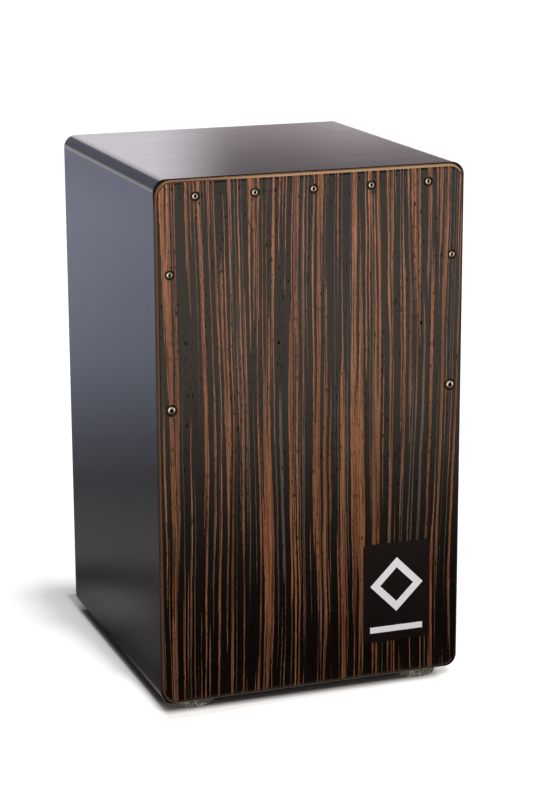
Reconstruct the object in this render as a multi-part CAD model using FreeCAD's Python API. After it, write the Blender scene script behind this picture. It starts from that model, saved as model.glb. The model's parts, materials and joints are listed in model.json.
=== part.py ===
import FreeCAD, Part
import math
import os

# Cajon: a wooden box drum. The player sits on its top and strikes its thin front plate, and a pivoting
# bar inside holds two fans of snare coils against the back of that plate.
#
# Frame, in millimetres: +Z is up, -Y is the front plate's side, +X is to the right seen from the front.
# Origin: on the floor, at the centre of the whole object's bounding box.

V = FreeCAD.Vector

# Cabinet
WIDTH = 300.0                   # outside width, along X
BODY_HEIGHT = 494.0             # underside to seat, without the feet
BODY_DEPTH = 308.0              # face of the front plate to face of the back panel
CORNER_RADIUS = 12.0            # the four long edges, which run front to back
FRONT_ROUNDING = 5.5            # roundover along the outline of the front, over the plate and the wall ends
BACK_ROUNDING = 2.5             # roundover along the outline of the back
WALL = 9.0                      # plywood of the four mitred walls
BATTEN = 14.0                   # width of the battens glued in along the edges, inside
BATTEN_CHAMFER = 3.0
FRONT_RAIL_DEPTH = 18.0         # battens behind the front plate, along Y
BACK_RAIL_DEPTH = 12.0          # battens in front of the back panel, along Y

# Front plate, a face veneer on a thin plywood core
VENEER = 0.5
PLATE_CORE = 2.5
PLATE_CORNER_RADIUS = 16.5      # cut rounder than the walls behind it

# Back panel
BACK_THICKNESS = 6.0
SOUND_HOLE_RADIUS = 60.0
SOUND_HOLE_HEIGHT = 300.0       # its centre above the underside of the body
SOUND_HOLE_ROUNDING = 1.5       # outer lip only

# Feet, discs of pressed rubber granulate
FOOT_RADIUS = 22.5
FOOT_HEIGHT = 8.0
FOOT_EDGE = 1.2
FOOT_X = 113.5                  # either side of the middle
FOOT_INSET = 28.5               # centre to the nearest face, front or back

# Screws through the front plate: five along the top and two down each side
TOP_SCREW_PITCH = 56.2
TOP_SCREW_DROP = 16.0           # below the seat
SIDE_SCREW_INSET = 12.8         # in from the side
UPPER_SIDE_SCREW_DROP = 85.5
LOWER_SIDE_SCREW_DROP = 210.0
SCREW_CLEARANCE = 0.3           # radial, through the plate
PILOT_CLEARANCE = 0.05          # radial, in the wood
SMALL_SCREW = {"head": 2.8, "cup": 4.5, "shank": 1.75, "length": 19.0}
LARGE_SCREW = {"head": 3.7, "cup": 5.6, "shank": 2.25, "length": 19.0}
CUP_PROUD = 0.6                 # how far each cup washer stands out of the plate
CUP_WALL = 0.5
CUP_DEPTH = 1.7                 # how far its cone reaches into the plate
SEAT_GAP = 0.03                 # between a screw's head, its cup and the plate
RECESS_REACH = 0.62             # of a screw's cross recess, as shares of its head's radius
RECESS_HALF_SLOT = 0.33
RECESS_TAPER = 0.5              # how much smaller the recess is at its floor

# Label, low on the right of the front plate
LABEL_WIDTH = 68.5
LABEL_HEIGHT = 98.2
LABEL_THICKNESS = 0.3
LABEL_RADIUS = 3.3
LABEL_X = 84.7                  # its centre
LABEL_Z = 85.2                  # its centre, above the underside of the body
MARK_THICKNESS = 0.1
DIAMOND_OUTER = 27.0            # half diagonal of the printed diamond
DIAMOND_INNER = 17.0
DIAMOND_RISE = 7.0              # its centre above the label's centre
BAR_MARK_WIDTH = 54.0
BAR_MARK_HEIGHT = 6.0
BAR_MARK_DROP = 37.0            # its centre below the label's centre

# Snare unit: a wooden bar on two pins, with two fans of coils
SNARE_BAR_HEIGHT = 330.0        # its axis above the underside of the body
SNARE_BAR_BEHIND = 14.0         # its axis behind the plate's rear face
SNARE_BAR_Y = 16.0              # section along Y
SNARE_BAR_Z = 20.0              # section along Z
SNARE_BAR_ROUNDING = 3.0
SNARE_BAR_GAP = 2.0             # between the bar's ends and the pivot holders
HOLDER_X = 5.0
HOLDER_Y = 10.0
HOLDER_Z = 34.0
HOLDER_ROUNDING = 2.0
HOLDER_SCREW_OFFSET = 11.0
PIN_RADIUS = 3.0
PIN_RUNNING_GAP = 0.05          # radial, in the holder
PIN_SEAT_GAP = 0.02             # radial, in the bar's end grain
PIN_IN_BAR = 25.0
PIN_END_GAP = 0.4               # to the side rail
FAN_LENGTH = 118.0              # base plate to tip
FAN_X = 46.0                    # foot of each fan, either side of the middle
FAN_SPLAY = 6.0                 # degrees, outwards
FAN_DROP = 5.5                  # base plate's lower edge below the bar's axis
FAN_TIP_GAP = 0.4               # between the coils' tips and the plate
COILS = 20
COIL_PITCH = 2.1
COIL_RADIUS = 0.8
COIL_START = 5.0                # coils start this far up the base plate
SOLDER_GAP = 0.02
FAN_PLATE_THICKNESS = 0.8
BASE_PLATE_WIDTH = 46.0
BASE_PLATE_HEIGHT = 12.0
TIP_PLATE_WIDTH = 44.0
TIP_PLATE_HEIGHT = 7.0
FAN_SCREW_X = 16.0
FAN_SCREW_Z = 2.5
PAN_SCREW = {"head": 2.1, "head_height": 1.1, "shank": 1.4, "length": 11.0}

# Places worked out from the sizes above
OVERALL_DEPTH = BODY_DEPTH + CUP_PROUD
FACE_Y = -OVERALL_DEPTH / 2 + CUP_PROUD
CORE_Y = FACE_Y + VENEER
SHELL_Y = CORE_Y + PLATE_CORE
BACK_FACE_Y = FACE_Y + BODY_DEPTH
BACK_PANEL_Y = BACK_FACE_Y - BACK_THICKNESS
BOTTOM_Z = FOOT_HEIGHT
TOP_Z = BOTTOM_Z + BODY_HEIGHT
HALF_WIDTH = WIDTH / 2
INNER_X = HALF_WIDTH - WALL
INNER_LOW_Z = BOTTOM_Z + WALL
INNER_HIGH_Z = TOP_Z - WALL
RAIL_X = INNER_X - BATTEN
RAIL_LOW_Z = INNER_LOW_Z + BATTEN
RAIL_HIGH_Z = INNER_HIGH_Z - BATTEN
BAR_AXIS_Y = SHELL_Y + SNARE_BAR_BEHIND
BAR_AXIS_Z = BOTTOM_Z + SNARE_BAR_HEIGHT
HOLDER_FACE_X = RAIL_X - HOLDER_X
BAR_END_X = HOLDER_FACE_X - SNARE_BAR_GAP

SIDE_SCREW_X = HALF_WIDTH - SIDE_SCREW_INSET

SMALL_SCREW_PLACES = [(step * TOP_SCREW_PITCH, TOP_Z - TOP_SCREW_DROP) for step in (-2, -1, 0, 1, 2)]
SMALL_SCREW_PLACES += [(side * SIDE_SCREW_X, TOP_Z - UPPER_SIDE_SCREW_DROP) for side in (-1, 1)]
LARGE_SCREW_PLACES = [(side * SIDE_SCREW_X, TOP_Z - LOWER_SIDE_SCREW_DROP) for side in (-1, 1)]
PLATE_FIXINGS = {
    "small": (SMALL_SCREW, SMALL_SCREW_PLACES),
    "large": (LARGE_SCREW, LARGE_SCREW_PLACES),
}


# ---- building blocks ----

def box(low, high):
    """Solid box between two opposite corners."""
    return Part.makeBox(high[0] - low[0], high[1] - low[1], high[2] - low[2], V(*low))


def prism(points, low_y, high_y):
    """Solid with a straight-sided (x, z) outline, running along Y."""
    corners = [V(x, low_y, z) for x, z in points]
    face = Part.Face(Part.makePolygon(corners + corners[:1]))
    return face.extrude(V(0, high_y - low_y, 0))


def rounded_prism(low_x, high_x, low_z, high_z, radius, low_y, high_y):
    """Solid with a round-cornered rectangular outline, running along Y."""
    quarter_turns = (
        (high_x - radius, high_z - radius, 0),
        (low_x + radius, high_z - radius, 90),
        (low_x + radius, low_z + radius, 180),
        (high_x - radius, low_z + radius, 270),
    )
    arcs = []
    for centre_x, centre_z, start in quarter_turns:
        points = []
        for angle in (start, start + 45, start + 90):
            turn = math.radians(angle)
            points.append(V(centre_x + radius * math.cos(turn), low_y, centre_z + radius * math.sin(turn)))
        arcs.append((points, Part.Arc(*points).toShape()))
    edges = []
    for (points, arc), (next_points, _) in zip(arcs, arcs[1:] + arcs[:1]):
        edges.append(arc)
        edges.append(Part.makeLine(points[-1], next_points[0]))
    return Part.Face(Part.Wire(edges)).extrude(V(0, high_y - low_y, 0))


def turned(profile, domed=False):
    """Solid of revolution about the Y axis, from (radius, depth) corners. A domed one starts on the axis, and a
    spherical cap joins its first two corners."""
    corners = [V(radius, depth, 0) for radius, depth in profile]
    edges = [Part.makeLine(a, b) for a, b in zip(corners, corners[1:] + corners[:1])]
    if domed:
        crown, rim = corners[:2]
        rise = rim.y - crown.y
        radius = (rim.x ** 2 + rise ** 2) / (2 * rise)
        halfway = rim.x / 2
        sag = radius - math.sqrt(radius ** 2 - halfway ** 2)
        edges[0] = Part.Arc(crown, V(halfway, crown.y + sag, 0), rim).toShape()
    face = Part.Face(Part.Wire(edges))
    return face.revolve(V(0, 0, 0), V(0, 1, 0), 360)


def edges_at_y(shape, y):
    """Every edge of a shape that lies in the plane at y."""
    found = []
    for edge in shape.Edges:
        limits = edge.BoundBox
        if abs(limits.YMin - y) < 0.001 and abs(limits.YMax - y) < 0.001:
            found.append(edge)
    return found


def moved(shape, x=0.0, y=0.0, z=0.0):
    """Copy of a shape, shifted."""
    copy = shape.copy()
    copy.translate(V(x, y, z))
    return copy


def group(solids):
    """Separate solids that share one node."""
    return Part.makeCompound(solids)


# ---- cabinet ----

def outer_form(corner_radius):
    """Solid block of the whole cabinet, with its long edges and its front and back outlines rounded."""
    block = rounded_prism(-HALF_WIDTH, HALF_WIDTH, BOTTOM_Z, TOP_Z, corner_radius, FACE_Y, BACK_FACE_Y)
    block = block.makeFillet(FRONT_ROUNDING, edges_at_y(block, FACE_Y))
    return block.makeFillet(BACK_ROUNDING, edges_at_y(block, BACK_FACE_Y))


def walls(form):
    """Seat, bottom and two sides, mitred at their long edges."""
    left_top = (-HALF_WIDTH, TOP_Z)
    right_top = (HALF_WIDTH, TOP_Z)
    left_bottom = (-HALF_WIDTH, BOTTOM_Z)
    right_bottom = (HALF_WIDTH, BOTTOM_Z)
    inner_left_top = (-INNER_X, INNER_HIGH_Z)
    inner_right_top = (INNER_X, INNER_HIGH_Z)
    inner_left_bottom = (-INNER_X, INNER_LOW_Z)
    inner_right_bottom = (INNER_X, INNER_LOW_Z)
    outlines = {
        "seat_panel": (left_top, right_top, inner_right_top, inner_left_top),
        "bottom_panel": (left_bottom, right_bottom, inner_right_bottom, inner_left_bottom),
        "left_side_panel": (left_top, left_bottom, inner_left_bottom, inner_left_top),
        "right_side_panel": (right_top, right_bottom, inner_right_bottom, inner_right_top),
    }
    return {name: form.common(prism(points, SHELL_Y, BACK_PANEL_Y)) for name, points in outlines.items()}


def corner_battens():
    """Square battens along the four inner corners, with their free edge chamfered."""
    battens = {}
    levels = (("top", INNER_HIGH_Z, RAIL_HIGH_Z), ("bottom", INNER_LOW_Z, RAIL_LOW_Z))
    for across, side in (("left", -1), ("right", 1)):
        for level, wall_z, free_z in levels:
            up = 1 if wall_z > free_z else -1
            outline = (
                (side * INNER_X, wall_z),
                (side * INNER_X, free_z),
                (side * (RAIL_X + BATTEN_CHAMFER), free_z),
                (side * RAIL_X, free_z + up * BATTEN_CHAMFER),
                (side * RAIL_X, wall_z),
            )
            battens[f"{level}_{across}_corner_batten"] = prism(outline, SHELL_Y, BACK_PANEL_Y)
    return battens


def rails(end, low_y, high_y):
    """The four battens behind one end of the cabinet, between the corner battens."""
    return {
        f"{end}_top_rail": box((-RAIL_X, low_y, RAIL_HIGH_Z), (RAIL_X, high_y, INNER_HIGH_Z)),
        f"{end}_bottom_rail": box((-RAIL_X, low_y, INNER_LOW_Z), (RAIL_X, high_y, RAIL_LOW_Z)),
        f"{end}_left_rail": box((-INNER_X, low_y, RAIL_LOW_Z), (-RAIL_X, high_y, RAIL_HIGH_Z)),
        f"{end}_right_rail": box((RAIL_X, low_y, RAIL_LOW_Z), (INNER_X, high_y, RAIL_HIGH_Z)),
    }


def back_panel(form):
    """Back panel with its round sound hole."""
    panel = form.common(box((-WIDTH, BACK_PANEL_Y, 0), (WIDTH, BACK_FACE_Y, 2 * TOP_Z)))
    centre = V(0, BACK_PANEL_Y, BOTTOM_Z + SOUND_HOLE_HEIGHT)
    panel = panel.cut(Part.makeCylinder(SOUND_HOLE_RADIUS, BACK_THICKNESS, centre, V(0, 1, 0)))
    lip = [edge for edge in edges_at_y(panel, BACK_FACE_Y) if hole_edge(edge)]
    return panel.makeFillet(SOUND_HOLE_ROUNDING, lip)


def hole_edge(edge):
    """Whether an edge is a circle of the sound hole."""
    return isinstance(edge.Curve, Part.Circle) and abs(edge.Curve.Radius - SOUND_HOLE_RADIUS) < 0.001


def feet():
    """Four round feet, their lower edges chamfered."""
    discs = {}
    for end, y in (("front", FACE_Y + FOOT_INSET), ("back", BACK_FACE_Y - FOOT_INSET)):
        for across, side in (("left", -1), ("right", 1)):
            disc = Part.makeCylinder(FOOT_RADIUS, FOOT_HEIGHT, V(side * FOOT_X, y, 0))
            lower = [edge for edge in disc.Edges if edge.BoundBox.ZMax < 0.001]
            discs[f"{end}_{across}_foot"] = disc.makeChamfer(FOOT_EDGE, lower)
    return discs


# ---- front plate and its screws ----

def seat_cone(size, depth):
    """Radius of the conical seat inside a cup washer at a depth below the plate's face."""
    slope = (size["head"] - size["shank"]) / (CUP_PROUD + CUP_DEPTH)
    return size["head"] + SEAT_GAP - slope * (depth + CUP_PROUD)


def cup_washer(size):
    """Cup washer: a flat rim on the plate and a cone that goes into it."""
    return turned((
        (seat_cone(size, -CUP_PROUD), -CUP_PROUD),
        (size["cup"] - CUP_PROUD / 2, -CUP_PROUD),
        (size["cup"], -CUP_PROUD / 2),
        (size["cup"], 0),
        (seat_cone(size, 0) + CUP_WALL, 0),
        (seat_cone(size, CUP_DEPTH) + CUP_WALL, CUP_DEPTH),
        (seat_cone(size, CUP_DEPTH), CUP_DEPTH),
    ))


def wings(reach, half_width, mouth, floor):
    """Block that narrows with depth: two opposite wings of a cross recess."""
    outlines = []
    for depth, share in ((mouth, 1.0), (floor, RECESS_TAPER)):
        far = reach * share
        thick = half_width * share
        corners = [V(x, depth, z) for x, z in ((-far, -thick), (far, -thick), (far, thick), (-far, thick))]
        outlines.append(Part.makePolygon(corners + corners[:1]))
    return Part.makeLoft(outlines, True, True)


def cross_recess(head_radius, crown, depth):
    """Cross-shaped driver recess, cut to a depth below the crown of a screw's head."""
    across = wings(head_radius * RECESS_REACH, head_radius * RECESS_HALF_SLOT, crown - depth / 4, crown + depth)
    upright = across.copy()
    upright.rotate(V(0, 0, 0), V(0, 1, 0), 90)
    return across.fuse(upright)


def plate_screw(size):
    """Raised countersunk wood screw that sits in a cup washer."""
    crown = -CUP_PROUD * 0.95
    rim_depth = -CUP_PROUD * 0.2
    rim = seat_cone(size, rim_depth) - SEAT_GAP
    shank = size["shank"]
    screw = turned((
        (0, crown),
        (rim, rim_depth),
        (shank, CUP_DEPTH),
        (shank, size["length"] - 2 * shank),
        (0, size["length"]),
    ), domed=True)
    return screw.cut(cross_recess(size["head"], crown, size["head"] * 0.5))


def plate_hole(size):
    """What one screw and its cup remove from the front plate."""
    outer = CUP_WALL + SEAT_GAP
    bore = size["shank"] + SCREW_CLEARANCE + CUP_WALL
    through = VENEER + PLATE_CORE
    return turned((
        (0, 0),
        (seat_cone(size, 0) + outer, 0),
        (seat_cone(size, CUP_DEPTH) + outer, CUP_DEPTH),
        (bore, CUP_DEPTH),
        (bore, through),
        (0, through),
    ))


def pilot_hole(size, start):
    """Hole in the wood for a screw, from a depth to just past its tip."""
    radius = size["shank"] + PILOT_CLEARANCE
    return Part.makeCylinder(radius, size["length"] + PILOT_CLEARANCE - start, V(0, start, 0), V(0, 1, 0))


def front_plate(form):
    """Core and face veneer of the front plate, drilled for its screws."""
    core = form.common(box((-WIDTH, CORE_Y, 0), (WIDTH, SHELL_Y, 2 * TOP_Z)))
    veneer = form.common(box((-WIDTH, FACE_Y, 0), (WIDTH, CORE_Y, 2 * TOP_Z)))
    for size, places in PLATE_FIXINGS.values():
        for x, z in places:
            hole = moved(plate_hole(size), x, FACE_Y, z)
            core = core.cut(hole)
            veneer = veneer.cut(hole)
    return {"front_plate_core": core, "front_plate_veneer": veneer}


def plate_fixings():
    """Screws and cup washers of the front plate, in two sizes."""
    fixings = {}
    for word, (size, places) in PLATE_FIXINGS.items():
        screw = plate_screw(size)
        cup = cup_washer(size)
        fixings[f"{word}_plate_screws"] = group([moved(screw, x, FACE_Y, z) for x, z in places])
        fixings[f"{word}_cup_washers"] = group([moved(cup, x, FACE_Y, z) for x, z in places])
    return fixings


def drill_front_rails(rail_nodes):
    """Front rails with pilot holes for the plate's screws."""
    start = VENEER + PLATE_CORE
    for size, places in PLATE_FIXINGS.values():
        for x, z in places:
            hole = moved(pilot_hole(size, start), x, FACE_Y, z)
            name = "front_top_rail"
            if abs(x) > RAIL_X:
                name = "front_left_rail" if x < 0 else "front_right_rail"
            rail_nodes[name] = rail_nodes[name].cut(hole)
    return rail_nodes


# ---- label ----

def label():
    """Thin label with a plain printed diamond and bar."""
    centre_z = BOTTOM_Z + LABEL_Z
    face_y = FACE_Y - LABEL_THICKNESS
    sheet = rounded_prism(
        LABEL_X - LABEL_WIDTH / 2, LABEL_X + LABEL_WIDTH / 2,
        centre_z - LABEL_HEIGHT / 2, centre_z + LABEL_HEIGHT / 2,
        LABEL_RADIUS, face_y, FACE_Y,
    )
    diamonds = []
    for half in (DIAMOND_OUTER, DIAMOND_INNER):
        middle = centre_z + DIAMOND_RISE
        points = (
            (LABEL_X, middle + half),
            (LABEL_X + half, middle),
            (LABEL_X, middle - half),
            (LABEL_X - half, middle),
        )
        diamonds.append(prism(points, face_y - MARK_THICKNESS, face_y))
    low_z = centre_z - BAR_MARK_DROP - BAR_MARK_HEIGHT / 2
    bar = box(
        (LABEL_X - BAR_MARK_WIDTH / 2, face_y - MARK_THICKNESS, low_z),
        (LABEL_X + BAR_MARK_WIDTH / 2, face_y, low_z + BAR_MARK_HEIGHT),
    )
    return {"label": sheet, "label_mark": group([diamonds[0].cut(diamonds[1]), bar])}


# ---- snare unit ----

def pan_screw():
    """Small pan-head wood screw along Y, its head's underside at the origin."""
    head = PAN_SCREW["head"]
    height = PAN_SCREW["head_height"]
    shank = PAN_SCREW["shank"]
    length = PAN_SCREW["length"]
    shoulder = -height * 0.4
    screw = turned((
        (0, -height),
        (head, shoulder),
        (head, 0),
        (shank, 0),
        (shank, length - 2 * shank),
        (0, length),
    ), domed=True)
    return screw.cut(cross_recess(head, -height, height * 0.7))


def snare_bar():
    """Wooden bar on the snare axis, its long edges rounded and its ends bored for the pins."""
    bar = box(
        (-BAR_END_X, BAR_AXIS_Y - SNARE_BAR_Y / 2, BAR_AXIS_Z - SNARE_BAR_Z / 2),
        (BAR_END_X, BAR_AXIS_Y + SNARE_BAR_Y / 2, BAR_AXIS_Z + SNARE_BAR_Z / 2),
    )
    long_edges = [edge for edge in bar.Edges if edge.BoundBox.XLength > BAR_END_X]
    bar = bar.makeFillet(SNARE_BAR_ROUNDING, long_edges)
    for side in (-1, 1):
        mouth = V(side * BAR_END_X, BAR_AXIS_Y, BAR_AXIS_Z)
        bar = bar.cut(Part.makeCylinder(PIN_RADIUS + PIN_SEAT_GAP, PIN_IN_BAR, mouth, V(-side, 0, 0)))
    pilot = PAN_SCREW["shank"] + PILOT_CLEARANCE
    hole = Part.makeCylinder(pilot, PAN_SCREW["length"], V(0, 0, 0), V(0, 1, 0))
    for side in (-1, 1):
        for screw_hole in fan_screw_places(hole, side):
            bar = bar.cut(screw_hole)
    return bar


def pivots():
    """Pivot pins and the holders they turn in, one pair at each side rail."""
    nodes = {}
    screws = []
    for across, side in (("left", -1), ("right", 1)):
        start = side * (BAR_END_X - PIN_IN_BAR + PIN_END_GAP)
        end = side * (RAIL_X - PIN_END_GAP)
        pin = Part.makeCylinder(PIN_RADIUS, abs(end - start), V(start, BAR_AXIS_Y, BAR_AXIS_Z), V(side, 0, 0))
        nodes[f"{across}_pivot_pin"] = pin
        holder = box(
            (min(side * HOLDER_FACE_X, side * RAIL_X), BAR_AXIS_Y - HOLDER_Y / 2, BAR_AXIS_Z - HOLDER_Z / 2),
            (max(side * HOLDER_FACE_X, side * RAIL_X), BAR_AXIS_Y + HOLDER_Y / 2, BAR_AXIS_Z + HOLDER_Z / 2),
        )
        upright = [edge for edge in holder.Edges if edge.BoundBox.XLength > HOLDER_X / 2]
        holder = holder.makeFillet(HOLDER_ROUNDING, upright)
        bore = Part.makeCylinder(
            PIN_RADIUS + PIN_RUNNING_GAP, HOLDER_X,
            V(side * HOLDER_FACE_X, BAR_AXIS_Y, BAR_AXIS_Z), V(side, 0, 0),
        )
        holder = holder.cut(bore)
        for up in (-1, 1):
            place = V(side * HOLDER_FACE_X, BAR_AXIS_Y, BAR_AXIS_Z + up * HOLDER_SCREW_OFFSET)
            hole_radius = PAN_SCREW["shank"] + SCREW_CLEARANCE
            clearance = Part.makeCylinder(hole_radius, HOLDER_X, place, V(side, 0, 0))
            holder = holder.cut(clearance)
            screw = pan_screw()
            screw.rotate(V(0, 0, 0), V(0, 0, 1), -90 * side)
            screw.translate(place)
            screws.append(screw)
        nodes[f"{across}_pivot_holder"] = holder
    nodes["pivot_holder_screws"] = group(screws)
    return nodes


def drill_side_rails(rail_nodes):
    """Side rails with pilot holes for the pivot holders' screws."""
    for name, side in (("front_left_rail", -1), ("front_right_rail", 1)):
        for up in (-1, 1):
            place = V(side * RAIL_X, BAR_AXIS_Y, BAR_AXIS_Z + up * HOLDER_SCREW_OFFSET)
            depth = PAN_SCREW["length"] - HOLDER_X + PILOT_CLEARANCE
            hole = Part.makeCylinder(PAN_SCREW["shank"] + PILOT_CLEARANCE, depth, place, V(side, 0, 0))
            rail_nodes[name] = rail_nodes[name].cut(hole)
    return rail_nodes


def place_on_bar(shape, side):
    """Turn a piece of a fan outwards and set it on the front of the snare bar."""
    copy = shape.copy()
    copy.rotate(V(0, 0, 0), V(0, 1, 0), side * FAN_SPLAY)
    copy.translate(V(side * FAN_X, BAR_AXIS_Y - SNARE_BAR_Y / 2, BAR_AXIS_Z - FAN_DROP))
    return copy


def fan_screw_places(shape, side):
    """Copies of a shape at the two screws of one fan."""
    return [place_on_bar(moved(shape, x, 0, FAN_SCREW_Z), side) for x in (-FAN_SCREW_X, FAN_SCREW_X)]


def leaned(shape):
    """Tip a fan's coils forward about their lower ends, so that their tips all but touch the plate."""
    coil_y = -(FAN_PLATE_THICKNESS + SOLDER_GAP + COIL_RADIUS)
    front_y = SNARE_BAR_BEHIND - SNARE_BAR_Y / 2 + coil_y - COIL_RADIUS
    lean = math.degrees(math.asin((front_y - FAN_TIP_GAP) / (FAN_LENGTH - COIL_START)))
    copy = shape.copy()
    copy.rotate(V(0, coil_y, COIL_START), V(1, 0, 0), lean)
    return copy


def snare_fan(side):
    """Base plate, tip plate and coils of one fan."""
    base = box(
        (-BASE_PLATE_WIDTH / 2, -FAN_PLATE_THICKNESS, 0),
        (BASE_PLATE_WIDTH / 2, 0, BASE_PLATE_HEIGHT),
    )
    clearance = Part.makeCylinder(
        PAN_SCREW["shank"] + SCREW_CLEARANCE, FAN_PLATE_THICKNESS, V(0, -FAN_PLATE_THICKNESS, 0), V(0, 1, 0)
    )
    for x in (-FAN_SCREW_X, FAN_SCREW_X):
        base = base.cut(moved(clearance, x, 0, FAN_SCREW_Z))
    tip = box(
        (-TIP_PLATE_WIDTH / 2, -FAN_PLATE_THICKNESS, FAN_LENGTH - TIP_PLATE_HEIGHT),
        (TIP_PLATE_WIDTH / 2, 0, FAN_LENGTH),
    )
    coil_y = -(FAN_PLATE_THICKNESS + SOLDER_GAP + COIL_RADIUS)
    coils = []
    for number in range(COILS):
        x = (number - (COILS - 1) / 2) * COIL_PITCH
        coil = Part.makeCylinder(COIL_RADIUS, FAN_LENGTH - COIL_START, V(x, coil_y, COIL_START))
        coils.append(place_on_bar(leaned(coil), side))
    return {
        "snare_base_plate": place_on_bar(base, side),
        "snare_tip_plate": place_on_bar(leaned(tip), side),
        "snare_coils": group(coils),
    }


def snare_unit():
    """Everything that swings on the snare axis, apart from the pins."""
    nodes = {"snare_bar": snare_bar()}
    screws = []
    for across, side in (("left", -1), ("right", 1)):
        for piece, shape in snare_fan(side).items():
            nodes[f"{across}_{piece}"] = shape
        screws += fan_screw_places(moved(pan_screw(), y=-FAN_PLATE_THICKNESS), side)
    nodes["snare_plate_screws"] = group(screws)
    return nodes


def main():
    cabinet_form = outer_form(CORNER_RADIUS)
    front_rails = drill_side_rails(drill_front_rails(rails("front", SHELL_Y, SHELL_Y + FRONT_RAIL_DEPTH)))
    nodes = {}
    nodes.update(walls(cabinet_form))
    nodes.update(corner_battens())
    nodes.update(front_rails)
    nodes.update(rails("back", BACK_PANEL_Y - BACK_RAIL_DEPTH, BACK_PANEL_Y))
    nodes["back_panel"] = back_panel(cabinet_form)
    nodes.update(feet())
    nodes.update(front_plate(outer_form(PLATE_CORNER_RADIUS)))
    nodes.update(plate_fixings())
    nodes.update(label())
    nodes.update(pivots())
    nodes.update(snare_unit())

    os.makedirs("parts", exist_ok=True)
    for name, shape in nodes.items():
        shape.exportStep(f"parts/{name}.step")
        print(name, "solids", len(shape.Solids), "valid", shape.isValid(), "cm3", round(shape.Volume / 1000, 2))
    print(len(nodes), "nodes")


main()
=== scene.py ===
import json
import math

import bpy
import numpy as np
from mathutils import Matrix, Vector, noise


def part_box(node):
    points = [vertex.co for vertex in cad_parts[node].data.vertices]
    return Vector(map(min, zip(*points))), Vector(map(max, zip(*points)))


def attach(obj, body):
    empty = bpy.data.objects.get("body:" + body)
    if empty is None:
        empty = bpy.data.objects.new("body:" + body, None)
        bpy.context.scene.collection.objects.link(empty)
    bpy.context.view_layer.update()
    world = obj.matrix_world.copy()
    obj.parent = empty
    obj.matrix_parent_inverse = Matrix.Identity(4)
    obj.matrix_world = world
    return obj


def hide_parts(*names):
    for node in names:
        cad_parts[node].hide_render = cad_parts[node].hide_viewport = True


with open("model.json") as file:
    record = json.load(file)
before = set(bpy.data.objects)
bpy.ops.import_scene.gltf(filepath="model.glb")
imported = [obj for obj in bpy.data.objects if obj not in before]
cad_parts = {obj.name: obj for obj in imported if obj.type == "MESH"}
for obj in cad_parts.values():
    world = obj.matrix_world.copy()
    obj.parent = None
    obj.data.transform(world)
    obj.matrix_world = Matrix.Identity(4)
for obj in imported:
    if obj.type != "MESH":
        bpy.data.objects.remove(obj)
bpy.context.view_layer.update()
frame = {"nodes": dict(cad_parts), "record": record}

# Looks of the cajon. Everything is in metres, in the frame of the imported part: +Z up, the front plate
# faces -Y. Patterns in the materials are worked out in millimetres.

MM = 0.001

FACE_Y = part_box("front_plate_veneer")[0].y
BACK_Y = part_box("back_panel")[1].y
TOP_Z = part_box("seat_panel")[1].z
BOTTOM_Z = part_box("bottom_panel")[0].z
HALF_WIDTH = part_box("right_side_panel")[1].x
INNER_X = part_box("front_right_rail")[1].x
MIDDLE_Z = (TOP_Z + BOTTOM_Z) / 2


# ---- node graphs ----

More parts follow.
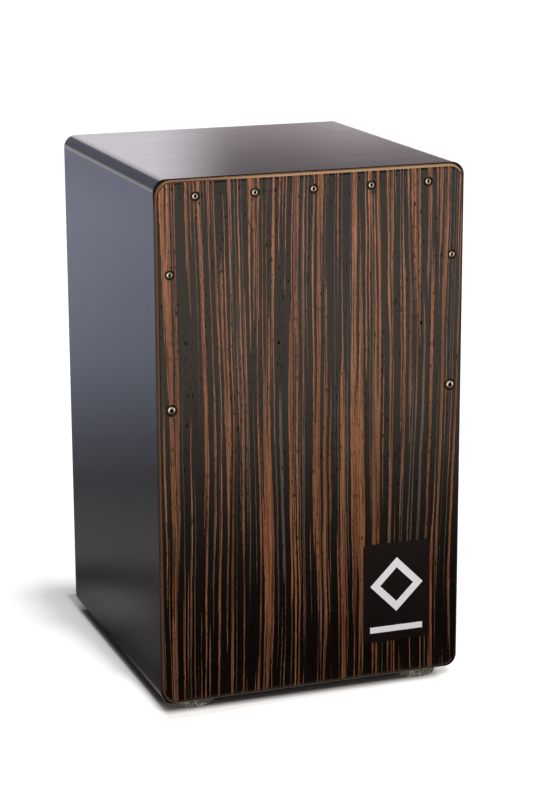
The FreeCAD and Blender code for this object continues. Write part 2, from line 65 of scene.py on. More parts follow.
class Graph:
    """A node graph, built in short calls. Inputs may be numbers, colours or other outputs."""

    def __init__(self, name, owners=bpy.data.materials):
        self.owner = owners.new(name)
        self.owner.use_nodes = True
        self.tree = self.owner.node_tree
        self.tree.nodes.clear()

    def node(self, kind, inputs=(), **settings):
        made = self.tree.nodes.new(kind)
        for key, value in settings.items():
            setattr(made, key, value)
        for socket, value in dict(inputs).items():
            self.feed(made.inputs[socket], value)
        return made

    def feed(self, socket, value):
        if isinstance(value, bpy.types.NodeSocket):
            self.tree.links.new(value, socket)
        elif isinstance(value, tuple) and len(value) == 3 and socket.type == "RGBA":
            socket.default_value = (*value, 1.0)
        else:
            socket.default_value = value

    def math(self, operation, *values, clamp=False):
        made = self.node("ShaderNodeMath", enumerate(values), operation=operation)
        made.use_clamp = clamp
        return made.outputs[0]

    def add(self, a, b):
        return self.math("ADD", a, b)

    def subtract(self, a, b):
        return self.math("SUBTRACT", a, b)

    def multiply(self, a, b):
        return self.math("MULTIPLY", a, b)

    def largest(self, a, b):
        return self.math("MAXIMUM", a, b)

    def absolute(self, value):
        return self.math("ABSOLUTE", value)

    def sway(self, value, span):
        """A noise of 0 to 1 as a shift to either side, span wide in all."""
        return self.multiply(self.subtract(value, 0.5), span)

    def remap(self, value, low, high, new_low, new_high, **settings):
        inputs = {0: value, 1: low, 2: high, 3: new_low, 4: new_high}
        return self.node("ShaderNodeMapRange", inputs, **settings).outputs[0]

    def step(self, value, low, high):
        """0 at low and 1 at high, smooth between, and level past them. High may be under low."""
        return self.remap(value, low, high, 0.0, 1.0, interpolation_type="SMOOTHSTEP")

    def near(self, value, middle, outer, inner):
        """1 within inner of a middle value, 0 further from it than outer."""
        return self.step(self.absolute(self.subtract(value, middle)), outer, inner)

    def place(self):
        """x, y and z in the part's frame, in millimetres."""
        coordinates = self.node("ShaderNodeTexCoord").outputs["Object"]
        scaled = self.node("ShaderNodeVectorMath", {0: coordinates, 3: 1 / MM}, operation="SCALE").outputs[0]
        return self.node("ShaderNodeSeparateXYZ", {0: scaled}).outputs

    def vector(self, x, y, z):
        return self.node("ShaderNodeCombineXYZ", {0: x, 1: y, 2: z}).outputs[0]

    def stretched(self, x, y, z, sizes):
        """A point scaled so that one unit of noise spans the given millimetres along x, y and z."""
        return self.vector(*[self.multiply(value, 1 / size) for value, size in zip((x, y, z), sizes)])

    def noise(self, vector, detail=2.0, roughness=0.5):
        inputs = {"Vector": vector, "Scale": 1.0, "Detail": detail, "Roughness": roughness}
        return self.node("ShaderNodeTexNoise", inputs).outputs[0]

    def cells(self, vector, feature="F1", output="Distance"):
        made = self.node("ShaderNodeTexVoronoi", feature=feature)
        self.feed(made.inputs["Vector"], vector)
        self.feed(made.inputs["Scale"], 1.0)
        return made.outputs[output]

    def mix(self, factor, a, b):
        """Colour a where the factor is 0, colour b where it is 1."""
        made = self.node("ShaderNodeMix", data_type="RGBA")
        for socket, value in ((0, factor), (6, a), (7, b)):
            self.feed(made.inputs[socket], value)
        return made.outputs[2]

    def darkened(self, colour, amount):
        return self.mix(amount, colour, (0.0, 0.0, 0.0))

    def ramp(self, value, stops):
        """Colour ramp from (position, colour) stops."""
        made = self.node("ShaderNodeValToRGB", {0: value})
        elements = made.color_ramp.elements
        elements[0].position = stops[0][0]
        elements[1].position = stops[-1][0]
        for position, _ in stops[1:-1]:
            elements.new(position)
        for element, (_, colour) in zip(elements, stops):
            element.color = (*colour, 1.0)
        return made.outputs[0]

    def profile(self, distance, stops):
        """A level read off (millimetres, level) stops, straight between them."""
        furthest = stops[-1][0]
        grey = [(place / furthest, (level,) * 3) for place, level in stops]
        return self.ramp(self.multiply(distance, 1 / furthest), grey)

    def bump(self, height, distance, strength=1.0):
        """Normal from a height of 0 to 1 that stands for a distance in metres."""
        inputs = {"Height": height, "Distance": distance, "Strength": strength}
        return self.node("ShaderNodeBump", inputs).outputs[0]

    def surface(self, **inputs):
        """Principled surface from named inputs, with _ for spaces. Returns the finished material."""
        shader = self.node("ShaderNodeBsdfPrincipled")
        for name, value in inputs.items():
            self.feed(shader.inputs[name.replace("_", " ")], value)
        output = self.node("ShaderNodeOutputMaterial")
        self.tree.links.new(shader.outputs[0], output.inputs[0])
        return self.owner


# ---- stage: floor, lights and camera ----

def make_camera():
    """A long lens to the left of the front and a little above it."""
    azimuth = math.radians(19.776)
    elevation = math.radians(14.524)
    roll = math.radians(0.275)
    distance = 2.1126
    target = Vector((-0.0457, FACE_Y, 0.2936))
    back = Vector((
        -math.sin(azimuth) * math.cos(elevation),
        -math.cos(azimuth) * math.cos(elevation),
        math.sin(elevation),
    ))
    data = bpy.data.cameras.new("camera")
    data.lens = 103.90
    data.sensor_width = 36.0
    camera = bpy.data.objects.new("camera", data)
    bpy.context.scene.collection.objects.link(camera)
    camera.location = target + back * distance
    turn = (-back).to_track_quat("-Z", "Y").to_matrix() @ Matrix.Rotation(-roll, 3, "Z")
    camera.rotation_mode = "QUATERNION"
    camera.rotation_quaternion = turn.to_quaternion()
    bpy.context.scene.camera = camera


def make_softbox():
    """A square light above the front, turned to the foot of the drum, that the camera doesn't see."""
    place = Vector((-0.1, -0.9, 2.1))
    target = Vector((0.0, 0.0, 0.2))
    data = bpy.data.lights.new("overhead", "AREA")
    data.size = 1.9
    data.energy = 64.0
    light = bpy.data.objects.new("overhead", data)
    bpy.context.scene.collection.objects.link(light)
    light.location = place
    light.rotation_mode = "QUATERNION"
    light.rotation_quaternion = (target - place).to_track_quat("-Z", "Y")
    light.visible_camera = False


def staged_disc(name, radius, z, material):
    """A flat disc facing up, as part of the stage."""
    segments = 96
    ring = [(radius * math.cos(turn), radius * math.sin(turn), z)
            for turn in np.linspace(0, 2 * math.pi, segments, endpoint=False)]
    mesh = bpy.data.meshes.new(name)
    mesh.from_pydata(ring, [], [tuple(range(segments))])
    mesh.materials.append(material)
    disc = bpy.data.objects.new(name, mesh)
    bpy.context.scene.collection.objects.link(disc)
    return disc


def reach_from_cabinet(graph, x, y, inset=0.0, widening=1.0, behind=0.0):
    """How far a point of the floor is from the cabinet's footprint, in millimetres. The footprint's sides
    can be drawn in and distances from them stretched, and its back can be moved further behind."""
    beside = graph.largest(graph.subtract(graph.absolute(x), HALF_WIDTH / MM - inset), 0.0)
    beside = graph.multiply(beside, widening)
    centred = graph.subtract(y, behind / 2)
    ahead = graph.largest(graph.subtract(graph.absolute(centred), BACK_Y / MM + behind / 2), 0.0)
    return graph.math("SQRT", graph.add(graph.multiply(beside, beside), graph.multiply(ahead, ahead)))


# Each stop is (millimetres, level). The levels are the floor's painted glow, which draws the edge of the
# drum's shadow: soft at the back of the drum's left side and firm at its front and right.
# The right corner's stops paint a pool of light under the drum's right front corner.
SHADOW_EDGE = (
    (0.0, 0.0), (0.5, 0.10), (4.0, 0.165), (20.0, 0.20), (36.0, 0.347), (51.0, 0.466), (64.0, 0.53),
    (90.0, 0.65),
)
RIGHT_CORNER_PAINTED_LIGHT = ((114.0, 0.0), (126.0, 0.14), (137.0, 0.52), (150.0, 0.80))
OPENNESS_BESIDE = (
    (0.0, 0.02), (20.0, 0.09), (55.0, 0.155), (80.0, 0.095), (120.0, 0.080), (150.0, 0.135), (190.0, 0.190),
    (260.0, 0.180), (480.0, 0.135), (670.0, 0.23), (900.0, 0.38), (1150.0, 0.53), (1850.0, 0.66),
    (2500.0, 0.77), (3200.0, 0.65),
)
OPENNESS_BEFORE = (
    (0.0, 0.9), (8.0, 0.5), (18.0, 0.0), (450.0, 0.030), (640.0, 0.13), (840.0, 0.42), (1100.0, 0.74),
    (1400.0, 0.95),
)


def make_floor():
    """Pale acrylic sheet whose painted glow draws the edge of the drum's shadow and a pool of light
    under its right front corner; just under its left edge its colour is painted darker as shade."""
    graph = Graph("floor_acrylic")
    x, y, z = graph.place()
    left = -HALF_WIDTH / MM
    right = HALF_WIDTH / MM
    back = BACK_Y / MM
    ahead = graph.subtract(FACE_Y / MM, y)
    reach = reach_from_cabinet(graph, x, y)

    # Painted light: the glow grows with distance from the drum's footprint and so paints its shadow's edge.
    widening = graph.add(graph.remap(y, -90.0, -30.0, 5.0, 0.0), graph.remap(y, -30.0, 130.0, 3.0, 1.0))
    away = reach_from_cabinet(graph, x, y, inset=4.0, widening=widening, behind=50.0)
    away = graph.multiply(away, graph.remap(x, left, right, 1.0, 8.0))
    beside = graph.profile(away, SHADOW_EDGE)
    before = graph.add(
        graph.multiply(graph.step(ahead, 2.0, 24.0), 0.45),
        graph.multiply(graph.step(ahead, 24.0, 350.0), 0.20),
    )
    # A painted pool of light on the floor under the drum's right front corner.
    at_corner = graph.multiply(graph.profile(x, RIGHT_CORNER_PAINTED_LIGHT), graph.step(ahead, -90.0, -30.0))
    glow = graph.add(
        graph.largest(graph.largest(beside, before), at_corner),
        graph.multiply(graph.step(reach, 400.0, 2000.0), 0.25),
    )

    fine = graph.noise(graph.stretched(x, y, z, (6.0, 6.0, 6.0)), detail=3.0)
    colour = graph.mix(fine, (0.62, 0.62, 0.62), (0.66, 0.66, 0.66))
    # Painted shade: the floor's colour is darkened just under the drum's left edge.
    under = graph.multiply(
        graph.multiply(graph.step(x, left + 1.0, left + 9.0), graph.step(x, 90.0, 0.0)),
        graph.multiply(graph.step(ahead, -12.0, -40.0), graph.step(y, back + 2.0, back - 6.0)),
    )
    acrylic = graph.surface(
        Base_Color=graph.darkened(colour, graph.multiply(under, 0.76)),
        Roughness=0.9, Specular_IOR_Level=0.1,
        Emission_Color=(1.0, 1.0, 1.0), Emission_Strength=glow,
    )
    staged_disc("floor", 24.0, 0.0, acrylic)


def make_flag():
    """Dark net round the drum, just over the floor, that only its reflections and shading see."""
    graph = Graph("flag_net")
    x, y, _ = graph.place()
    reach = reach_from_cabinet(graph, x, y)
    back_corner = graph.multiply(graph.step(reach, 120.0, 0.0), graph.step(y, 60.0, 160.0))
    beside = graph.add(graph.profile(reach, OPENNESS_BESIDE), graph.multiply(back_corner, 0.28))
    before = graph.profile(reach, OPENNESS_BEFORE)
    in_front = graph.step(y, 100.0, -300.0)
    openness = graph.mix(in_front, beside, before)
    cool = graph.mix(graph.step(reach, 200.0, 900.0), (0.95, 0.90, 0.92), (0.77, 0.82, 1.0))
    tint = graph.mix(in_front, cool, (1.0, 0.84, 0.70))
    facing_down = graph.node("ShaderNodeNewGeometry").outputs["Backfacing"]
    clear = graph.largest(openness, facing_down)
    dark = graph.node("ShaderNodeBsdfDiffuse", {"Color": (0.004, 0.004, 0.004)}).outputs[0]
    through = graph.node("ShaderNodeBsdfTransparent", {"Color": tint}).outputs[0]
    mixed = graph.node("ShaderNodeMixShader", {0: clear, 1: dark, 2: through}).outputs[0]
    graph.node("ShaderNodeOutputMaterial", {0: mixed})
    flag = staged_disc("floor_flag", 3.8, 0.0004, graph.owner)
    flag.visible_camera = False
    flag.visible_shadow = False


def make_backdrop():
    """Screen behind the drum that only reflections see: dim on the left, a soft window in the middle, and on
    the right light that fades out upwards and is a little dimmer."""
    left, right = -2.4, 2.6
    low, high = 0.50, 2.2
    y = 1.5
    mesh = bpy.data.meshes.new("backdrop")
    corners = [(left, y, low), (right, y, low), (right, y, high), (left, y, high)]
    mesh.from_pydata(corners, [], [(0, 1, 2, 3)])
    screen = bpy.data.objects.new("backdrop", mesh)
    bpy.context.scene.collection.objects.link(screen)
    graph = Graph("backdrop_glow")
    x, _, z = graph.place()
    brighter = graph.multiply(graph.step(x, 520.0, 740.0), graph.step(z, 765.0, 675.0))
    lower = graph.mix(brighter, (1.04, 0.90, 0.94), (2.05, 1.80, 1.85))
    fading = graph.mix(graph.step(z, 630.0, 785.0), lower, (0.09, 0.08, 0.09))
    window = graph.mix(graph.step(z, 680.0, 750.0), (1.22, 1.18, 1.26), (1.44, 1.38, 1.46))
    window = graph.mix(graph.step(x, 336.0, 506.0), window, fading)
    window = graph.darkened(window, graph.multiply(graph.step(x, 480.0, 640.0), 0.14))
    glow = graph.mix(graph.step(x, -110.0, -20.0), (0.31, 0.33, 0.42), window)
    mesh.materials.append(graph.surface(
        Base_Color=(0.0, 0.0, 0.0), Roughness=1.0, Emission_Color=glow, Emission_Strength=1.0,
    ))
    screen.visible_camera = False
    screen.visible_diffuse = False
    screen.visible_shadow = False


def make_world():
    """White near the horizon, a cooler grey overhead, and dimmer on the right."""
    graph = Graph("studio", bpy.data.worlds)
    direction = graph.node("ShaderNodeTexCoord").outputs["Generated"]
    x, _, z = graph.node("ShaderNodeSeparateXYZ", {0: direction}).outputs
    sky = graph.mix(graph.step(z, 0.12, 0.34), (1.0, 1.0, 1.0), (0.30, 0.30, 0.31))
    dimmed = graph.mix(graph.step(x, 0.0, 0.5), sky, graph.darkened(sky, 0.75))
    background = graph.node("ShaderNodeBackground", {"Color": dimmed}).outputs[0]
    graph.node("ShaderNodeOutputWorld", {0: background})
    bpy.context.scene.world = graph.owner


def make_stage():
    make_floor()
    make_flag()
    make_backdrop()
    make_world()
    make_softbox()
    bpy.context.scene.view_settings.view_transform = "Standard"


# ---- materials ----

def sides_of_box(graph, x, z, inset):
    """How far a point is outside a rectangle that lies inset millimetres within the cabinet's outline."""
    half_x = HALF_WIDTH / MM - inset
    half_z = (TOP_Z - BOTTOM_Z) / 2 / MM - inset
    across = graph.subtract(graph.absolute(x), half_x)
    up = graph.subtract(graph.absolute(graph.subtract(z, MIDDLE_Z / MM)), half_z)
    return graph.largest(across, up)


def wood_tone(graph, along, across, depth, pale, deep, grain=0.9):
    """Bare wood: fine fibres along one direction over a slow drift of tone. Returns the colour and the
    fibres' height."""
    fibres = graph.noise(
        graph.stretched(across, depth, along, (grain, grain, 60.0)), detail=4.0, roughness=0.65,
    )
    drift = graph.noise(graph.stretched(across, depth, along, (22.0, 22.0, 260.0)))
    rays = graph.noise(graph.stretched(across, depth, along, (0.5, 0.5, 5.0)), detail=1.0)
    tone = graph.math("ADD", graph.multiply(fibres, 0.65), graph.multiply(drift, 0.5), clamp=True)
    colour = graph.mix(graph.step(tone, 0.35, 0.8), pale, deep)
    flecked = graph.mix(graph.multiply(graph.step(rays, 0.62, 0.72), 0.35), colour, deep)
    return flecked, fibres


def upright_noise(graph, across, z, seed, sizes, detail=1.0, roughness=0.5):
    """Noise over the front plate, with its own seed; sizes are its millimetres across and upwards."""
    point = graph.stretched(across, seed, z, (sizes[0], 1.0, sizes[1]))
    return graph.noise(point, detail=detail, roughness=roughness)


def veneer():
    """Dark veneer with crisp upright orange-brown stripes, thin grey lines and short open pores."""
    graph = Graph("plate_veneer")
    x, _, z = graph.place()
    bend = upright_noise(graph, x, z, 0.0, (90.0, 420.0))
    ripple = upright_noise(graph, x, z, 3.0, (8.0, 70.0), detail=2.0)
    tremble = upright_noise(graph, x, z, 5.0, (1.4, 7.0), detail=2.0, roughness=0.6)
    across = graph.add(x, graph.sway(bend, 22.0))
    across = graph.add(across, graph.sway(ripple, 2.6))
    across = graph.add(across, graph.sway(tremble, 1.2))

    narrow = upright_noise(graph, across, z, 11.0, (2.9, 430.0))
    broad = upright_noise(graph, across, z, 17.0, (8.5, 900.0))
    ragged = upright_noise(graph, x, z, 7.0, (0.7, 2.6))
    level = graph.add(graph.multiply(narrow, 0.62), graph.multiply(broad, 0.38))
    level = graph.add(level, graph.sway(ragged, 0.022))
    # The stripes narrow towards the bottom, so the plate is darker lower down.
    level = graph.subtract(level, graph.remap(z, 60.0, 430.0, 0.012, 0.001))
    stripe = graph.step(level, 0.526, 0.534)
    rim = graph.step(level, 0.556, 0.532)
    edge = graph.step(level, 0.490, 0.514)

    fibres = upright_noise(graph, across, z, 23.0, (0.5, 30.0), detail=3.0, roughness=0.7)
    lines = upright_noise(graph, across, z, 29.0, (1.1, 260.0))
    veins = upright_noise(graph, across, z, 30.0, (2.0, 330.0))
    line = graph.largest(graph.near(lines, 0.54, 0.060, 0.015), graph.near(veins, 0.49, 0.034, 0.008))
    drift = upright_noise(graph, across, z, 31.0, (12.0, 180.0), detail=2.0)
    faded = graph.step(upright_noise(graph, across, z, 33.0, (5.0, 240.0)), 0.50, 0.66)
    orange = graph.mix(graph.step(drift, 0.35, 0.65), (0.360, 0.142, 0.064), (0.262, 0.092, 0.034))
    orange = graph.mix(graph.multiply(rim, 0.7), orange, (0.325, 0.162, 0.092))
    orange = graph.mix(graph.multiply(faded, 0.55), orange, (0.080, 0.034, 0.015))
    orange = graph.mix(graph.multiply(graph.step(fibres, 0.60, 0.36), 0.50), orange, (0.070, 0.020, 0.006))
    orange = graph.mix(graph.multiply(line, 0.85), orange, (0.036, 0.010, 0.002))

    hairline = graph.step(upright_noise(graph, across, z, 37.0, (1.5, 420.0), detail=0.0), 0.655, 0.690)
    dark = graph.mix(fibres, (0.0010, 0.0005, 0.0002), (0.0032, 0.0018, 0.0008))
    dark = graph.mix(graph.multiply(edge, 0.6), dark, (0.0120, 0.0035, 0.0008))
    dark = graph.mix(graph.multiply(hairline, 0.85), dark, (0.090, 0.068, 0.052))

    pore_field = upright_noise(graph, across, z, 43.0, (0.75, 7.0), detail=0.0)
    pore_zone = upright_noise(graph, across, z, 47.0, (7.0, 160.0))
    pores = graph.multiply(graph.step(pore_field, 0.675, 0.700), graph.step(pore_zone, 0.44, 0.54))
    colour = graph.mix(stripe, dark, orange)
    colour = graph.mix(graph.multiply(pores, 0.85), colour, (0.0012, 0.0008, 0.0006))
    sheen = graph.subtract(graph.remap(fibres, 0.2, 0.8, 0.40, 0.50), graph.multiply(pores, 0.42))
    height = graph.subtract(graph.multiply(fibres, 0.6), graph.multiply(pores, 1.6))
    roughness = graph.add(graph.remap(fibres, 0.2, 0.8, 0.21, 0.27), graph.multiply(pores, 0.3))
    return graph.surface(
        Base_Color=colour, Roughness=roughness, Specular_IOR_Level=sheen,
        Normal=graph.bump(height, 0.00006, 0.5),
    )


def layered(graph, depth, bands, fibres):
    """Plies seen edge on: bands are (depth in millimetres where the ply starts, colour)."""
    colour = bands[0][1]
    wavy = graph.add(depth, graph.sway(fibres, 0.25))
    for start, tone in bands[1:]:
        colour = graph.mix(graph.step(wavy, start - 0.05, start + 0.05), colour, tone)
    return colour


PLY_BANDS = (
    (0.00, (0.260, 0.168, 0.104)),
    (1.20, (0.235, 0.130, 0.050)),
    (2.10, (0.055, 0.022, 0.008)),
    (2.35, (0.008, 0.003, 0.002)),
)
BROWN_PLY = PLY_BANDS[2][1]
BARE_PLY = (0.42, 0.36, 0.31)
# Dark stain of the face, also painted as shade round the plate's edge.
FACE_STAIN_AND_SHADE = (0.018, 0.006, 0.002)
FIBRE_STAIN = (0.10, 0.045, 0.02)
BIRCH_PALE = (0.62, 0.46, 0.30)
BIRCH_DEEP = (0.48, 0.32, 0.185)
# One lacquer: sides bluer, seat redder and darker, partly its own tone, partly painted reflection tint.
SIDE_LACQUER = (0.0080, 0.0080, 0.0110)
SEAT_LACQUER = (0.0060, 0.0035, 0.0045)


def plate_ply():
    """Front plate's core: its plies show along the rounded edge, its rear face is plain birch.
    The edge holds painted shade: the face's dark stain colour is carried further round it at the left
    and along the bottom, and furthest at the right and round its lower corner, and the left plies are
    browner. The bottom edge is bare below the stain."""
    graph = Graph("plate_ply")
    x, y, z = graph.place()
    bottom = BOTTOM_Z / MM
    rear = (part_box("front_plate_core")[1].y - FACE_Y) / MM
    depth = graph.subtract(y, FACE_Y / MM)
    fibres = graph.noise(graph.stretched(x, y, z, (1.2, 0.5, 1.2)), detail=3.0, roughness=0.65)
    long_fibres = graph.noise(graph.stretched(x, y, z, (9.0, 0.22, 9.0)), detail=3.0, roughness=0.6)

    # Painted shade: the edge is darker at the left, the right, the lower right corner and the bottom.
    at_left = graph.step(x, -30.0, -130.0)
    at_right = graph.step(x, 144.0, 148.0)
    at_corner = graph.multiply(graph.step(x, 116.0, 134.0), graph.step(z, 44.0, 20.0))
    at_bottom = graph.step(z, bottom + 12.0, bottom + 6.0)
    at_right_end = graph.largest(at_right, at_corner)
    stain_and_shade_reach = graph.add(graph.multiply(at_left, 0.58), graph.multiply(at_right_end, 1.6))
    stain_and_shade_reach = graph.largest(stain_and_shade_reach, graph.multiply(at_bottom, 0.85))
    bare = graph.multiply(graph.step(z, bottom + 9.0, bottom + 5.0), graph.step(depth, 2.3, 1.9))

    edge = layered(graph, depth, PLY_BANDS, fibres)
    # Painted shade: browner plies at the left.
    edge = graph.mix(graph.multiply(at_left, 0.50), edge, BROWN_PLY)
    edge = graph.mix(bare, edge, BARE_PLY)
    edge = graph.mix(graph.step(graph.subtract(depth, stain_and_shade_reach), 0.60, 0.50), edge, FACE_STAIN_AND_SHADE)
    edge = graph.mix(graph.multiply(long_fibres, 0.5), edge, graph.mix(0.5, edge, FIBRE_STAIN))
    face, grain = wood_tone(graph, z, x, y, BIRCH_PALE, BIRCH_DEEP)
    on_edge = graph.step(depth, rear - 0.02, rear - 0.06)
    return graph.surface(
        Base_Color=graph.mix(on_edge, face, edge), Roughness=0.66, Specular_IOR_Level=0.15,
        Normal=graph.bump(graph.mix(on_edge, grain, long_fibres), 0.00008, 0.5),
    )


def scaled(colour, share):
    return tuple(share * value for value in colour)


def lacquered(name, lacquer, along_is_x=False, back=False):
    """Stained plywood under satin lacquer outside and bare birch inside. The grain runs round the box."""
    graph = Graph(name)
    x, y, z = graph.place()
    along, across = (x, z) if along_is_x else (z, x)
    inside_tone, inside_grain = wood_tone(graph, along, y, across, BIRCH_PALE, BIRCH_DEEP)
    grain = graph.noise(graph.stretched(along, across, y, (120.0, 2.0, 1.5)), detail=3.0, roughness=0.62)
    bars = graph.noise(graph.stretched(along, across, y, (170.0, 12.0, 9.0)))
    cloud = graph.noise(graph.stretched(along, across, y, (210.0, 90.0, 60.0)))
    specks = graph.step(graph.cells(graph.stretched(x, y, z, (9.0, 9.0, 9.0))), 0.055, 0.030)
    stain = graph.mix(grain, scaled(lacquer, 0.7), scaled(lacquer, 1.4))
    stain = graph.mix(graph.multiply(cloud, 0.4), stain, scaled(lacquer, 1.8))
    stain = graph.mix(graph.multiply(specks, 0.5), stain, (0.10, 0.10, 0.11))
    if back:
        inner_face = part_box("back_panel")[0].y / MM
        inner = graph.step(y, inner_face + 0.15, inner_face + 0.10)
    else:
        inner = graph.step(sides_of_box(graph, x, z, (HALF_WIDTH - INNER_X) / MM - 0.6), 0.1, -0.1)
    colour = graph.mix(inner, stain, inside_tone)
    satin = graph.add(graph.remap(grain, 0.2, 0.8, 0.10, 0.17), graph.remap(bars, 0.2, 0.8, -0.02, 0.04))
    roughness = graph.add(satin, graph.multiply(inner, 0.4))
    streaks = graph.noise(graph.stretched(along, across, y, (90.0, 1.1, 1.1)), roughness=0.6)
    sheen = graph.remap(streaks, 0.2, 0.8, 0.36, 0.48)
    seam = graph.step(y, FACE_Y / MM + 5.6, FACE_Y / MM + 4.6)
    if not along_is_x:
        seam = graph.multiply(seam, graph.step(z, TOP_Z / MM - 32.0, TOP_Z / MM - 16.0))
    sheen = graph.multiply(sheen, graph.subtract(1.0, seam))
    height = graph.add(graph.multiply(grain, 0.7), graph.add(graph.multiply(specks, 0.8), bars))
    return graph.surface(
        Base_Color=colour, Roughness=roughness, Specular_IOR_Level=sheen,
        Normal=graph.bump(graph.mix(inner, height, inside_grain), 0.00005, 0.35),
    )


def bare_wood(name, pale, deep, along="x", grain=0.9):
    """Planed wood with its grain along one axis."""
    graph = Graph(name)
    axes = dict(zip("xyz", graph.place()))
    along_value = axes.pop(along)
    across, depth = axes.values()
    colour, fibres = wood_tone(graph, along_value, across, depth, pale, deep, grain)
    return graph.surface(
        Base_Color=colour, Roughness=graph.remap(fibres, 0.2, 0.8, 0.5, 0.68),
        Normal=graph.bump(fibres, 0.0001, 0.5),
    )


def metal(name, colour, tint, roughness):
    """Plated or drawn metal with faint tarnish and fine marks."""
    graph = Graph(name)
    x, y, z = graph.place()
    tarnish = graph.noise(graph.stretched(x, y, z, (1.8, 1.8, 1.8)), detail=3.0)
    marks = graph.noise(graph.stretched(x, y, z, (0.18, 0.5, 0.18)), roughness=0.7)
    return graph.surface(
        Base_Color=graph.mix(graph.step(tarnish, 0.35, 0.75), colour, tint), Metallic=1.0,
        Roughness=graph.remap(marks, 0.2, 0.8, roughness * 0.8, roughness * 1.3),
        Normal=graph.bump(marks, 0.00002, 0.35),
    )


def screw_head():
    """Bright nickel head; its metal below the rim, which fills the recess, is painted near black as shade.
    """
    graph = Graph("screw_nickel")
    x, y, z = graph.place()
    marks = graph.noise(graph.stretched(x, y, z, (0.25, 0.25, 0.25)), roughness=0.7)
    tarnish = graph.noise(graph.stretched(x, y, z, (1.6, 1.6, 1.6)), detail=3.0)
    bright = graph.mix(graph.step(tarnish, 0.35, 0.75), (0.78, 0.74, 0.66), (0.62, 0.56, 0.44))
    # Painted shade: near black below the head's rim, in the recess.
    deep = graph.step(y, FACE_Y / MM - 0.12, FACE_Y / MM + 0.02)
    return graph.surface(
        Base_Color=graph.mix(deep, bright, (0.004, 0.003, 0.002)), Metallic=1.0,
        Roughness=graph.remap(marks, 0.2, 0.8, 0.16, 0.30), Normal=graph.bump(marks, 0.00002, 0.35),
    )


def moulded(name, colour, roughness, gloss=0.5):
    """Plastic or printed film with a fine tooth."""
    graph = Graph(name)
    x, y, z = graph.place()
    tooth = graph.noise(graph.stretched(x, y, z, (0.35, 0.35, 0.35)), detail=3.0, roughness=0.6)
    cloud = graph.noise(graph.stretched(x, y, z, (14.0, 14.0, 14.0)))
    lighter = tuple(min(1.0, value * 1.12 + 0.003) for value in colour)
    return graph.surface(
        Base_Color=graph.mix(cloud, colour, lighter),
        Roughness=graph.remap(tooth, 0.2, 0.8, roughness * 0.85, roughness * 1.15), Specular_IOR_Level=gloss,
        Normal=graph.bump(tooth, 0.00002, 0.4),
    )


def granulate():
    """Pressed rubber and cork granules of mixed greys, greens and tans."""
    graph = Graph("foot_granulate")
    x, y, z = graph.place()
    point = graph.stretched(x, y, z, (1.9, 1.9, 1.9))
    tone = graph.cells(point, output="Color")
    pick = graph.node("ShaderNodeSeparateColor", {0: tone}).outputs
    seam = graph.cells(point, feature="DISTANCE_TO_EDGE")
    colour = graph.ramp(pick[0], (
        (0.00, (0.120, 0.120, 0.100)),
        (0.30, (0.260, 0.260, 0.210)),
        (0.55, (0.430, 0.430, 0.350)),
        (0.80, (0.600, 0.580, 0.470)),
        (1.00, (0.780, 0.740, 0.600)),
    ))
    colour = graph.mix(graph.step(seam, 0.10, 0.02), colour, (0.045, 0.045, 0.040))
    grit = graph.noise(graph.stretched(x, y, z, (0.4, 0.4, 0.4)), detail=3.0)
    return graph.surface(
        Base_Color=graph.mix(graph.multiply(grit, 0.35), colour, (0.12, 0.12, 0.11)),
        Roughness=0.86, Normal=graph.bump(grit, 0.0002, 0.6),
    )


# ---- pieces ----

def new_piece(name, vertices, faces, material):
    """A smooth mesh object in the part's frame."""
    mesh = bpy.data.meshes.new(name)
    mesh.from_pydata([tuple(v) for v in vertices], [], faces)
    mesh.validate()
    mesh.shade_smooth()
    mesh.materials.append(material)
    piece = bpy.data.objects.new(name, mesh)
    bpy.context.scene.collection.objects.link(piece)
    return piece


def foot_profile(radius, height):
    """(radius, z) points of a foot from the middle of its underside to the middle of its top."""
    step = 0.8 * MM
    rounding = 1.2 * MM
    points = [(r, 0.0) for r in np.arange(step, radius - rounding, step)]
    for turn in np.linspace(0, math.pi / 2, 4):
        points.append((radius - rounding + rounding * math.sin(turn), rounding - rounding * math.cos(turn)))
    points += [(radius, z) for z in np.arange(rounding + step, height - step / 2, step)]
    points += [(radius, height)]
    points += [(r, height) for r in np.arange(radius - 3 * step, step, -3 * step)]
    return points


def turned_faces(rings, segments):
    """Faces round rings of vertices, closed at both ends by a first and a last vertex."""
    end = 1 + rings * segments
    faces = []
    for column in range(segments):
        following = (column + 1) % segments
        faces.append((0, 1 + following, 1 + column))
        for ring in range(rings - 1):
            a = 1 + ring * segments
            b = a + segments
            faces.append((a + column, a + following, b + following, b + column))
        last = end - segments
        faces.append((last + column, last + following, end))
    return faces


def make_foot(node, material):
    """A pressed granulate disc: grooves between granules are cut in from its skin."""
    low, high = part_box(node)
    centre = (low + high) / 2
    top = Vector((centre.x, centre.y, high.z))
    granule = 2.0 * MM
    groove = 0.55 * MM
    groove_reach = 0.28
    segments = 150
    profile = foot_profile((high.x - low.x) / 2, high.z - low.z)
    vertices = [Vector((centre.x, centre.y, low.z))]
    for r, z in profile:
        for turn in np.linspace(0, 2 * math.pi, segments, endpoint=False):
            skin = Vector((centre.x + r * math.cos(turn), centre.y + r * math.sin(turn), low.z + z))
            near, next_near = noise.voronoi(skin / granule)[0][:2]
            cut = groove * max(0.0, 1.0 - (next_near - near) / groove_reach)
            if skin.z > high.z - 0.1 * MM:
                cut = 0.0
            vertices.append(skin + (centre - skin).normalized() * cut)
    vertices.append(top)
    piece = new_piece(f"granulate_{node}", vertices, turned_faces(len(profile), segments), material)
    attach(piece, "cabinet")
    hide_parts(node)


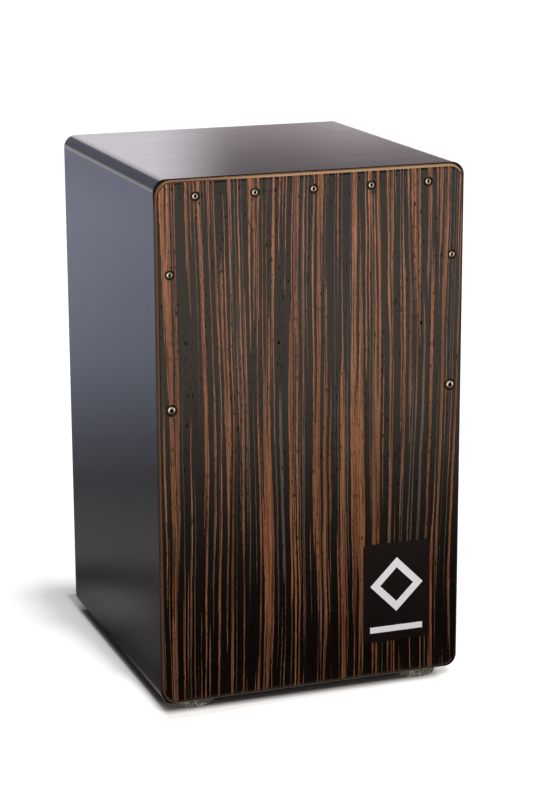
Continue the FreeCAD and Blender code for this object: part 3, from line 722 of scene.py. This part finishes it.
def solids_of(node):
    """Vertex positions of each separate solid in a CAD node."""
    mesh = frame["nodes"][node].data
    places = np.array([vertex.co for vertex in mesh.vertices])
    _, same = np.unique(np.round(places, 7), axis=0, return_inverse=True)
    group = np.arange(same.max() + 1)
    edges = same.ravel()[np.array([edge.vertices[:] for edge in mesh.edges])]
    while True:
        lowest = np.minimum(group[edges[:, 0]], group[edges[:, 1]])
        spread = group.copy()
        np.minimum.at(spread, edges[:, 0], lowest)
        np.minimum.at(spread, edges[:, 1], lowest)
        if (spread == group).all():
            break
        group = spread
    member = group[same.ravel()]
    return [places[member == number] for number in np.unique(member)]


def coil_axis(points):
    """Centre of each end of an upright cylinder, lower end first, from its vertices."""
    middle = points.mean(0)
    direction = np.linalg.svd(points - middle, full_matrices=False)[2][0]
    direction = direction * np.sign(direction[2])
    along = (points - middle) @ direction
    return middle + along.min() * direction, middle + along.max() * direction


def wire_tube(path, radius, sides, start_index):
    """Vertices and faces of a tube along a path, numbered from start_index."""
    vertices = []
    for index, point in enumerate(path):
        ahead = path[min(index + 1, len(path) - 1)] - path[max(index - 1, 0)]
        ahead = ahead / np.linalg.norm(ahead)
        side = np.cross(ahead, (0.0, 0.0, 1.0))
        side = side / np.linalg.norm(side)
        up = np.cross(side, ahead)
        for turn in np.linspace(0, 2 * math.pi, sides, endpoint=False):
            vertices.append(point + radius * (math.cos(turn) * side + math.sin(turn) * up))
    faces = []
    for index in range(len(path) - 1):
        base = start_index + index * sides
        for k in range(sides):
            following = (k + 1) % sides
            faces.append((base + k, base + following, base + sides + following, base + sides + k))
    last = start_index + (len(path) - 1) * sides
    faces.append(tuple(start_index + k for k in reversed(range(sides))))
    faces.append(tuple(last + k for k in range(sides)))
    return vertices, faces


WIRE_RADIUS = 0.23 * MM
CLOSE_TURNS = 8                 # at each end of a coil
OPEN_PITCH = 2.1 * MM           # between them
POINTS_PER_TURN = 9
WIRE_SIDES = 5


def coil_path(solid, start_angle):
    """Middle line of the wire wound within one coil's cylinder, given by that cylinder's vertices."""
    low, high = coil_axis(solid)
    axis = (high - low) / np.linalg.norm(high - low)
    side = np.cross(axis, (0.0, 1.0, 0.0))
    side = side / np.linalg.norm(side)
    front = np.cross(axis, side)
    winding = np.abs((solid - low) @ side).max() - WIRE_RADIUS
    length = np.linalg.norm(high - low) - 2 * WIRE_RADIUS
    close_pitch = 2.2 * WIRE_RADIUS
    close_length = CLOSE_TURNS * close_pitch
    open_turns = (length - 2 * close_length) / OPEN_PITCH
    turns = 2 * CLOSE_TURNS + open_turns
    path = []
    for turn in np.arange(0, turns, 1 / POINTS_PER_TURN):
        if turn < CLOSE_TURNS:
            height = turn * close_pitch
        elif turn < CLOSE_TURNS + open_turns:
            height = close_length + (turn - CLOSE_TURNS) * OPEN_PITCH
        else:
            height = length - (turns - turn) * close_pitch
        angle = 2 * math.pi * turn + start_angle
        ring = math.cos(angle) * side + math.sin(angle) * front
        path.append(low + axis * (WIRE_RADIUS + height) + ring * winding)
    return np.array(path)


def make_coils(node, material):
    """Snare coils as wound wire: close turns near each end and open ones between."""
    vertices = []
    faces = []
    for number, solid in enumerate(solids_of(node)):
        tube = wire_tube(coil_path(solid, start_angle=number), WIRE_RADIUS, WIRE_SIDES, len(vertices))
        vertices += tube[0]
        faces += tube[1]
    piece = new_piece(f"wound_{node}", vertices, faces, material)
    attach(piece, "snare_unit")
    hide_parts(node)


def dress(node, material):
    """Give a CAD node its finish in every material slot."""
    for slot in frame["nodes"][node].material_slots:
        slot.material = material


# ---- the drum ----

MATERIALS = {
    "body_lacquer": lacquered("body_lacquer_upright", SIDE_LACQUER),
    "flat_lacquer": lacquered("body_lacquer_flat", SEAT_LACQUER, along_is_x=True),
    "back_lacquer": lacquered("back_lacquer", SIDE_LACQUER, back=True),
    "batten_wood": bare_wood("batten_wood", (0.64, 0.47, 0.28), (0.50, 0.33, 0.17), along="y"),
    "plate_ply": plate_ply(),
    "plate_veneer": veneer(),
    "screw_nickel": screw_head(),
    "cup_black": metal("cup_black", (0.010, 0.007, 0.004), (0.040, 0.022, 0.008), 0.22),
    "label_black": moulded("label_black", (0.0065, 0.0035, 0.0028), 0.24, 0.4),
    "label_print": moulded("label_print", (0.93, 0.92, 0.91), 0.55),
    "foot_granulate": granulate(),
    "bar_wood": bare_wood("bar_wood", (0.62, 0.40, 0.235), (0.47, 0.27, 0.14), along="x", grain=0.6),
    "pin_steel": metal("pin_steel", (0.58, 0.57, 0.55), (0.46, 0.44, 0.41), 0.28),
    "holder_plastic": moulded("holder_plastic", (0.02, 0.02, 0.021), 0.45),
    "screw_zinc": metal("screw_zinc", (0.62, 0.61, 0.58), (0.52, 0.50, 0.44), 0.32),
    "fan_plate_brass": metal("fan_plate_brass", (0.78, 0.55, 0.24), (0.60, 0.38, 0.15), 0.30),
    "coil_steel": metal("coil_steel", (0.64, 0.63, 0.61), (0.50, 0.49, 0.47), 0.26),
}
FLAT_PANELS = ("seat_panel", "bottom_panel")
FEET = ("front_left_foot", "front_right_foot", "back_left_foot", "back_right_foot")
COILS = ("left_snare_coils", "right_snare_coils")

make_camera()
make_stage()
for entry in frame["record"]["subparts"]:
    dress(entry["node"], MATERIALS[entry["material_slot"]])
for panel in FLAT_PANELS:
    dress(panel, MATERIALS["flat_lacquer"])
for foot in FEET:
    make_foot(foot, MATERIALS["foot_granulate"])
for coils in COILS:
    make_coils(coils, MATERIALS["coil_steel"])
